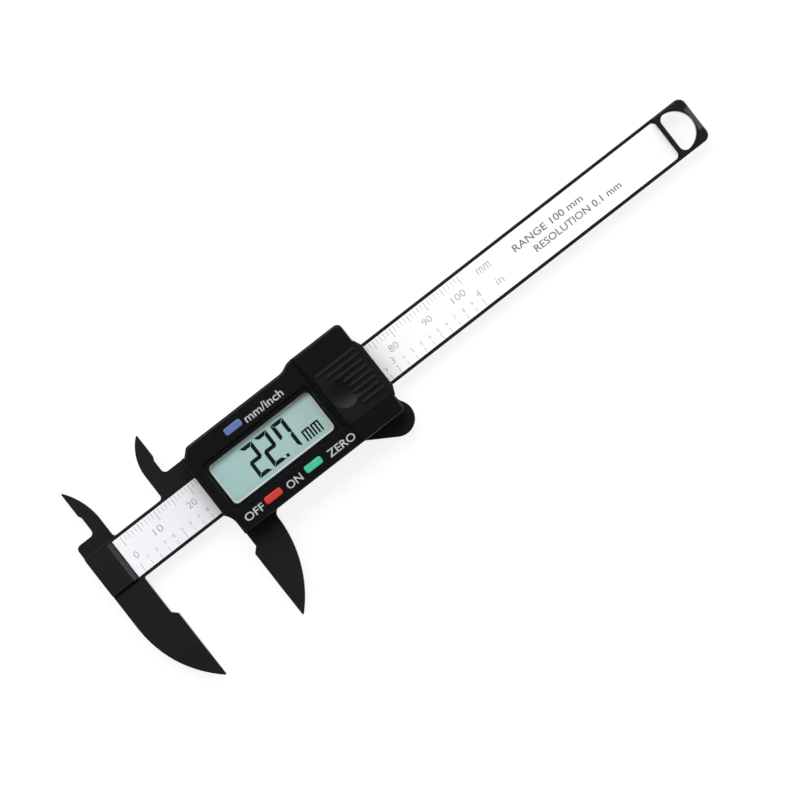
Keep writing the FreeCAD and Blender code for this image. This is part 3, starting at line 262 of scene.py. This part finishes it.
material("board_laminate", srgb(38, 110, 62), srgb(26, 84, 46), 2.5, (0.25, 0.4), 0.25, 0.008)
material("resin_black", srgb(24, 24, 26), srgb(14, 14, 16), 1.5, (0.15, 0.28), 0.6, 0.02)
material("capacitor_ceramic", srgb(188, 150, 106), srgb(160, 124, 84), 0.5, (0.5, 0.65), 0.1, 0.004)
material("crystal_can", srgb(206, 206, 208), srgb(178, 178, 182), 1.0, (0.2, 0.32), 0.1, 0.002,
         (0.15, 1, 1), metallic=1.0)
material("cell_steel", srgb(216, 216, 218), srgb(190, 190, 194), 3.0, (0.2, 0.34), 0.12, 0.002,
         metallic=1.0)
material("spring_steel", srgb(196, 196, 200), srgb(164, 164, 168), 1.5, (0.22, 0.36), 0.08, 0.002,
         (0.12, 1, 1), metallic=1.0)
material("screw_steel", srgb(78, 78, 82), srgb(52, 52, 56), 0.8, (0.28, 0.42), 0.08, 0.003,
         metallic=1.0)
material("key_blue", srgb(88, 109, 160), srgb(79, 99, 146), 1.6, (0.4, 0.55), 0.1, 0.004)
material("key_red", srgb(202, 42, 31), srgb(186, 35, 26), 1.6, (0.4, 0.55), 0.1, 0.004)
material("key_green", srgb(62, 187, 149), srgb(53, 171, 135), 1.6, (0.4, 0.55), 0.1, 0.004)
material("label_ink", srgb(182, 184, 189), srgb(160, 162, 168), 1.2, (0.5, 0.65), 0.08, 0.001)
material("range_ink", srgb(116, 118, 124), srgb(96, 98, 105), 1.2, (0.5, 0.65), 0.08, 0.001)
material("legend_ink", srgb(184, 185, 187), srgb(164, 165, 168), 1.2, (0.5, 0.65), 0.08, 0.001)
material("display_ink", srgb(12, 28, 27), srgb(7, 19, 18), 1.2, (0.35, 0.5), 0.1, 0.001,
         specular_ior_level=0.1)

NODE_MATERIALS = {
    "beam": "frame_black",
    "scale_circuit_strip": "strip_laminate",
    "stator_electrodes": "copper",
    "scale_label": "label_film",
    "slider_frame": "frame_black",
    "front_cover": "cover_black",
    "display_window": "window_clear",
    "display_mask": "mask_grey",
    "lcd_front_glass": "display_glass",
    "lcd_rear_glass": "rear_glass",
    "lcd_reflector": "reflector_film",
    "contact_strip_upper": "contact_rubber",
    "contact_strip_lower": "contact_rubber",
    "circuit_board": "board_laminate",
    "reader_electrodes": "copper",
    "chip_cap": "resin_black",
    "board_capacitors": "capacitor_ceramic",
    "quartz_crystal": "crystal_can",
    "key_mm_inch": "key_blue",
    "key_dome_mm_inch": "silicone",
    "key_off": "key_red",
    "key_dome_off": "silicone",
    "key_on_zero": "key_green",
    "key_dome_on_zero": "silicone",
    "coin_cell": "cell_steel",
    "battery_contact_negative": "spring_steel",
    "battery_contact_positive": "spring_steel",
    "battery_door": "door_black",
    "pressure_spring": "spring_steel",
    "case_screws": "screw_steel",
    "board_screws": "screw_steel",
}

for node_name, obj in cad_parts.items():
    obj.data.materials.clear()
    obj.data.materials.append(MATERIALS[NODE_MATERIALS[node_name]])


# ---------------------------------------------------------------- printed shapes


class Print:
    """Thin flat shapes gathered into one closed mesh, drawn in the drawing frame."""

    def __init__(self, name, body, level, ink, slot):
        self.name, self.body, self.level = name, body, level
        self.ink, self.slot = ink, slot
        self.mesh = bmesh.new()

    def polygon(self, points):
        """A prism over a convex or concave outline given in millimetres."""
        low = [
            self.mesh.verts.new((ORIGIN_X + x * MM, ORIGIN_Y + y * MM, self.level))
            for x, y in points
        ]
        high = [self.mesh.verts.new((v.co.x, v.co.y, self.level + INK)) for v in low]
        self.mesh.faces.new(list(reversed(low)))
        self.mesh.faces.new(high)
        for i, v in enumerate(low):
            j = (i + 1) % len(low)
            self.mesh.faces.new((v, low[j], high[j], high[i]))

    def bar(self, x0, x1, y0, y1):
        self.polygon([(x0, y0), (x1, y0), (x1, y1), (x0, y1)])

    def text(self, words, x, y, height, width=None, weight=0.0):
        """Lettering centred on (x, y): height of a capital or figure, width of the whole word."""
        curve = bpy.data.curves.new("lettering", "FONT")
        curve.body = words
        curve.resolution_u = 3
        curve.extrude = 0.5
        curve.offset = weight
        holder = bpy.data.objects.new("lettering", curve)
        bpy.context.scene.collection.objects.link(holder)
        graph = bpy.context.evaluated_depsgraph_get()
        shape = bpy.data.meshes.new_from_object(holder.evaluated_get(graph))
        bpy.data.objects.remove(holder)
        bpy.data.curves.remove(curve)
        xs = [v.co.x for v in shape.vertices]
        rise = height / CAPITAL
        squeeze = (width or rise * (max(xs) - min(xs))) / (max(xs) - min(xs))
        shape.transform(
            Matrix.Translation((ORIGIN_X + x * MM, ORIGIN_Y + y * MM, self.level + INK / 2))
            @ Matrix.Diagonal((squeeze * MM, rise * MM, INK, 1))
            @ Matrix.Translation((-(min(xs) + max(xs)) / 2, -CAPITAL / 2, 0))
        )
        self.mesh.from_mesh(shape)
        bpy.data.meshes.remove(shape)

    def finish(self):
        bmesh.ops.remove_doubles(self.mesh, verts=self.mesh.verts, dist=1e-7)
        bmesh.ops.recalc_face_normals(self.mesh, faces=self.mesh.faces)
        data = bpy.data.meshes.new(self.name)
        self.mesh.to_mesh(data)
        self.mesh.free()
        obj = bpy.data.objects.new(self.name, data)
        bpy.context.scene.collection.objects.link(obj)
        data.materials.append(MATERIALS[self.ink])
        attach(obj, self.body)


def on_label(name):
    return Print(name, "beam", LABEL_TOP, "label_ink", "label_ink")


def draw_millimetres():
    ticks = on_label("scale_mm_ticks")
    for k in range(MM_RANGE + 1):
        reach = MM_LONG if k % 10 == 0 else MM_HALF if k % 5 == 0 else MM_SHORT
        width = WIDE_TICK if k % 5 == 0 else MM_TICK
        ticks.bar(k - width / 2, k + width / 2, reach, MM_EDGE)
    ticks.finish()

    numbers = on_label("scale_mm_numbers")
    for tens in range(MM_RANGE // 10 + 1):
        words = str(10 * tens)
        x = 10 * tens - 0.4 - 0.68 * len(words) if tens else 0.55
        numbers.text(words, x, 0.95 if tens else -0.55, 1.8, 1.3 * len(words) - 0.1)
    numbers.text("mm", 106.3, 3.0, 2.5, 3.7)
    numbers.finish()


def draw_inches():
    ticks = on_label("scale_inch_ticks")
    for k in range(INCH_TENTHS + 1):
        x = k * INCH / 10
        reach = INCH_LONG if k % 10 == 0 else INCH_HALF if k % 5 == 0 else INCH_SHORT
        width = WIDE_TICK if k % 5 == 0 else INCH_TICK
        ticks.bar(x - width / 2, x + width / 2, INCH_EDGE, reach)
    ticks.finish()

    numbers = on_label("scale_inch_numbers")
    for k in range(1, INCH_TENTHS + 1):
        x = k * INCH / 10
        if k % 10:
            numbers.text(str(k % 10), x, -2.45, 1.05)
        else:
            numbers.text(str(k // 10), x, -1.5, 1.75)
    numbers.text("in", 107.6, -1.9, 2.0, 1.9)
    numbers.finish()


def draw_range():
    """A plain statement of range and resolution."""
    legend = Print("scale_legend", "beam", LABEL_TOP, "range_ink", "label_ink")
    legend.text("RANGE 100 mm", 124.6, 1.65, 1.8, 20.2, BOLD)
    legend.text("RESOLUTION 0.1 mm", 131.2, -1.45, 1.8, 25.2, BOLD)
    legend.finish()


def draw_cover_legends():
    legend = Print("cover_legends", "slider", COVER_TOP, "legend_ink", "legend_ink")
    legend.text("mm/inch", 45.75, 8.75, 2.1, 10.9, BOLD)
    legend.text("OFF", 28.85, -9.75, 1.95, 5.4, BOLD)
    legend.text("ON", 40.65, -9.75, 1.95, 4.3, BOLD)
    legend.text("ZERO", 54.55, -9.75, 1.95, 7.7, BOLD)
    legend.finish()


def draw_display():
    """Seven-segment figures 22.7 with their unit."""
    figures = Print("display_figures", "slider", GLASS_TOP, "display_ink", "display_ink")
    low, high = FIGURE_LOW, FIGURE_HIGH

    def digit(left, right, lit):
        """One figure out of mitred bars, parted by a thin gap along each mitre."""
        middle, t, g = (low + high) / 2, FIGURE_STROKE, BAR_GAP
        h = t / 2
        bars = {
            "a": [(left + g, high), (right - g, high),
                  (right - g - t, high - t), (left + g + t, high - t)],
            "d": [(left + g, low), (left + g + t, low + t),
                  (right - g - t, low + t), (right - g, low)],
            "g": [(left + g, middle), (left + g + h, middle + h), (right - g - h, middle + h),
                  (right - g, middle), (right - g - h, middle - h), (left + g + h, middle - h)],
            "b": [(right, high - g), (right, middle + g), (right - h, middle + g),
                  (right - t, middle + g + h), (right - t, high - g - t)],
            "c": [(right, low + g), (right - t, low + g + t), (right - t, middle - g - h),
                  (right - h, middle - g), (right, middle - g)],
        }
        for letter, partner in (("f", "b"), ("e", "c")):
            bars[letter] = [(left + right - x, y) for x, y in reversed(bars[partner])]
        for letter in lit:
            figures.polygon(bars[letter])

    digit(34.75, 38.35, "abged")
    digit(39.0, 42.6, "abged")
    digit(43.85, 47.4, "abcf")
    figures.bar(42.75, 43.55, low, low + POINT_SIZE)
    figures.finish()

    unit = Print("display_unit", "slider", GLASS_TOP, "display_ink", "display_ink")
    stroke, pitch, top, arch, round_off = 0.46, 0.9, -1.55, 0.42, 0.16
    for left in (48.8, 51.4):
        outline = []
        for i in range(3):
            x = left + i * pitch
            if i:
                outline.append((x, top - arch))
            outline += [(x, low), (x + stroke, low)]
            if i < 2:
                outline.append((x + stroke, top - arch))
        right = left + 2 * pitch + stroke
        outline += [(right, top - round_off), (right - round_off, top), (left, top)]
        unit.polygon(outline)
    unit.finish()


draw_millimetres()
draw_inches()
draw_range()
draw_cover_legends()
draw_display()


# ---------------------------------------------------------------- floor, light and camera


def build_floor():
    """Pale paper, partly self-lit so that it stays white under the caliper's soft shadow."""
    mesh = bmesh.new()
    bmesh.ops.create_grid(mesh, x_segments=8, y_segments=8, size=FLOOR_SIZE)
    data = bpy.data.meshes.new("floor")
    mesh.to_mesh(data)
    mesh.free()
    floor = bpy.data.objects.new("floor", data)
    floor.location.z = cad_low.z - FLOOR_DROP
    bpy.context.scene.collection.objects.link(floor)
    n = Nodes("floor_paper")
    drift = n.noise(n.coordinates(), 120.0)
    n.link(n.mix(drift, (0.2, 0.2, 0.2, 1), (0.22, 0.22, 0.22, 1)), n.shader.inputs["Base Color"])
    n.shader.inputs["Emission Color"].default_value = (1, 1, 1, 1)
    n.shader.inputs["Emission Strength"].default_value = FLOOR_GLOW
    n.shader.inputs["Roughness"].default_value = 0.8
    n.shader.inputs["Specular IOR Level"].default_value = 0.1
    data.materials.append(n.material)


def area_light(name, place, size, power):
    """A rectangular lamp that faces the caliper's middle."""
    lamp = bpy.data.lights.new(name, "AREA")
    lamp.shape = "RECTANGLE"
    lamp.size, lamp.size_y = size
    lamp.energy = power
    obj = bpy.data.objects.new(name, lamp)
    obj.location = place
    obj.rotation_mode = "QUATERNION"
    obj.rotation_quaternion = (-Vector(place)).to_track_quat("-Z", "Y")
    bpy.context.scene.collection.objects.link(obj)


def build_light():
    """Soft light from a pale wall towards the tail, dark overhead to keep level faces black."""
    world = bpy.data.worlds.new("studio")
    world.use_nodes = True
    tree = world.node_tree
    background = next(n for n in tree.nodes if n.type == "BACKGROUND")
    place = tree.nodes.new("ShaderNodeTexCoord")
    split = tree.nodes.new("ShaderNodeSeparateXYZ")
    ramp = tree.nodes.new("ShaderNodeMapRange")
    ramp.interpolation_type = "SMOOTHSTEP"
    set_range(ramp, WALL_TOP, CEILING_EDGE, WALL, CEILING)
    side = tree.nodes.new("ShaderNodeMapRange")
    side.interpolation_type = "SMOOTHSTEP"
    set_range(side, NEAR_SIDE, FAR_SIDE, NEAR_WALL, 1.0)
    lean = tree.nodes.new("ShaderNodeVectorMath")
    lean.operation = "DOT_PRODUCT"
    lean.inputs[1].default_value = WALL_SIDE
    product = tree.nodes.new("ShaderNodeMath")
    product.operation = "MULTIPLY"
    tree.links.new(place.outputs["Generated"], split.inputs["Vector"])
    tree.links.new(split.outputs["Z"], ramp.inputs["Value"])
    tree.links.new(place.outputs["Generated"], lean.inputs[0])
    tree.links.new(lean.outputs["Value"], side.inputs["Value"])
    tree.links.new(ramp.outputs["Result"], product.inputs[0])
    tree.links.new(side.outputs["Result"], product.inputs[1])
    tree.links.new(product.outputs["Value"], background.inputs["Strength"])
    background.inputs["Color"].default_value = (1.0, 1.0, 1.0, 1)
    bpy.context.scene.world = world
    area_light("key_light", (0.05, 0.65, 0.85), (1.0, 0.7), KEY_POWER)
    area_light("fill_light", (1.1, -0.2, 0.36), (0.6, 0.45), 0.36 * KEY_POWER)
    area_light("rim_light", (-0.7, 0.4, 0.75), (0.8, 0.8), 0.25 * KEY_POWER)
    area_light("low_light", (0.1, -0.75, 0.75), (0.9, 0.6), 0.12 * KEY_POWER)


def build_camera():
    """A long lens straight above, turned so that the caliper lies across the view."""
    data = bpy.data.cameras.new("camera")
    data.lens, data.sensor_width = LENS, SENSOR
    data.clip_start, data.clip_end = 0.01, 20.0
    camera = bpy.data.objects.new("camera", data)
    bpy.context.scene.collection.objects.link(camera)
    distance = VIEW_WIDTH * LENS / SENSOR
    camera.location = (
        ORIGIN_X + VIEW_CENTRE[0] * MM, ORIGIN_Y + VIEW_CENTRE[1] * MM, VIEW_LEVEL + distance,
    )
    camera.rotation_euler = (0, 0, -math.radians(VIEW_TURN))
    bpy.context.scene.camera = camera
    bpy.context.scene.view_settings.view_transform = "Standard"


build_floor()
build_light()
build_camera()
